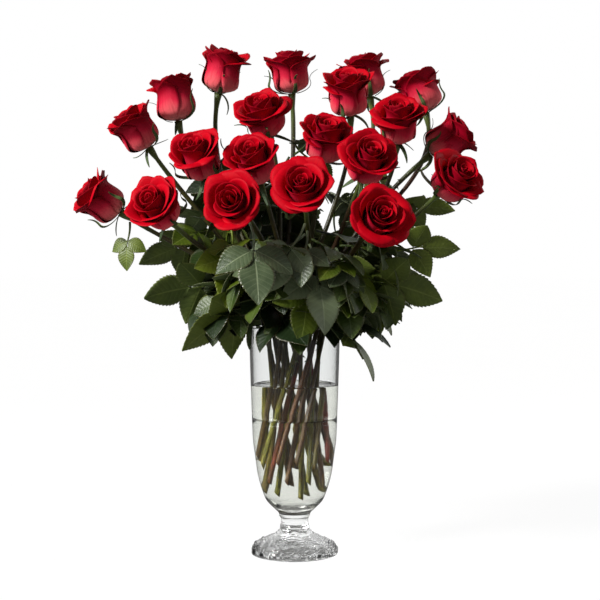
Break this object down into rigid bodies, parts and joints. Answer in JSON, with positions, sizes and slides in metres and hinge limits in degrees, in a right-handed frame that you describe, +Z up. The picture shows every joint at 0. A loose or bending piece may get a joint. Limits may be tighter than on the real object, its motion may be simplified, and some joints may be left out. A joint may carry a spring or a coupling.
{
  "type": "vase of long-stemmed roses",
  "caption": "Tall footed clear glass vase of water holding a fanned, loose bunch of open red roses on long leafy stems.",
  "frame": {"origin": "middle of the underside of the vase's foot", "axes": "+Z up the vase; -Y towards the side the bunch is made to be seen from"},
  "size_m": [0.4498, 0.3115, 0.5675],
  "materials": {
    "clear_glass": "polished",
    "water": "gloss",
    "rose_petals": "matte",
    "rose_stems": "satin",
    "rose_leaves": "satin"
  },
  "bodies": {
    "root": {"vase": "clear_glass", "water": "water", "bloom_01": "rose_petals", "bloom_02": "rose_petals", "bloom_03": "rose_petals", "bloom_04": "rose_petals", "bloom_05": "rose_petals", "bloom_06": "rose_petals", "bloom_07": "rose_petals", "bloom_08": "rose_petals", "bloom_09": "rose_petals", "bloom_10": "rose_petals", "bloom_11": "rose_petals", "bloom_12": "rose_petals", "bloom_13": "rose_petals", "bloom_14": "rose_petals", "bloom_15": "rose_petals", "bloom_16": "rose_petals", "bloom_17": "rose_petals", "bloom_18": "rose_petals", "bloom_19": "rose_petals", "bloom_20": "rose_petals", "stem_01": "rose_stems", "stem_02": "rose_stems", "stem_03": "rose_stems", "stem_04": "rose_stems", "stem_05": "rose_stems", "stem_06": "rose_stems", "stem_07": "rose_stems", "stem_08": "rose_stems", "stem_09": "rose_stems", "stem_10": "rose_stems", "stem_11": "rose_stems", "stem_12": "rose_stems", "stem_13": "rose_stems", "stem_14": "rose_stems", "stem_15": "rose_stems", "stem_16": "rose_stems", "stem_17": "rose_stems", "stem_18": "rose_stems", "stem_19": "rose_stems", "stem_20": "rose_stems", "leaf_01": "rose_leaves", "leaf_02": "rose_leaves", "leaf_03": "rose_leaves", "leaf_04": "rose_leaves", "leaf_05": "rose_leaves", "leaf_06": "rose_leaves", "leaf_07": "rose_leaves", "leaf_08": "rose_leaves", "leaf_09": "rose_leaves", "leaf_10": "rose_leaves", "leaf_11": "rose_leaves", "leaf_12": "rose_leaves", "leaf_13": "rose_leaves", "leaf_14": "rose_leaves", "leaf_15": "rose_leaves", "leaf_16": "rose_leaves", "leaf_17": "rose_leaves", "leaf_18": "rose_leaves"}
  },
  "joints": []
}
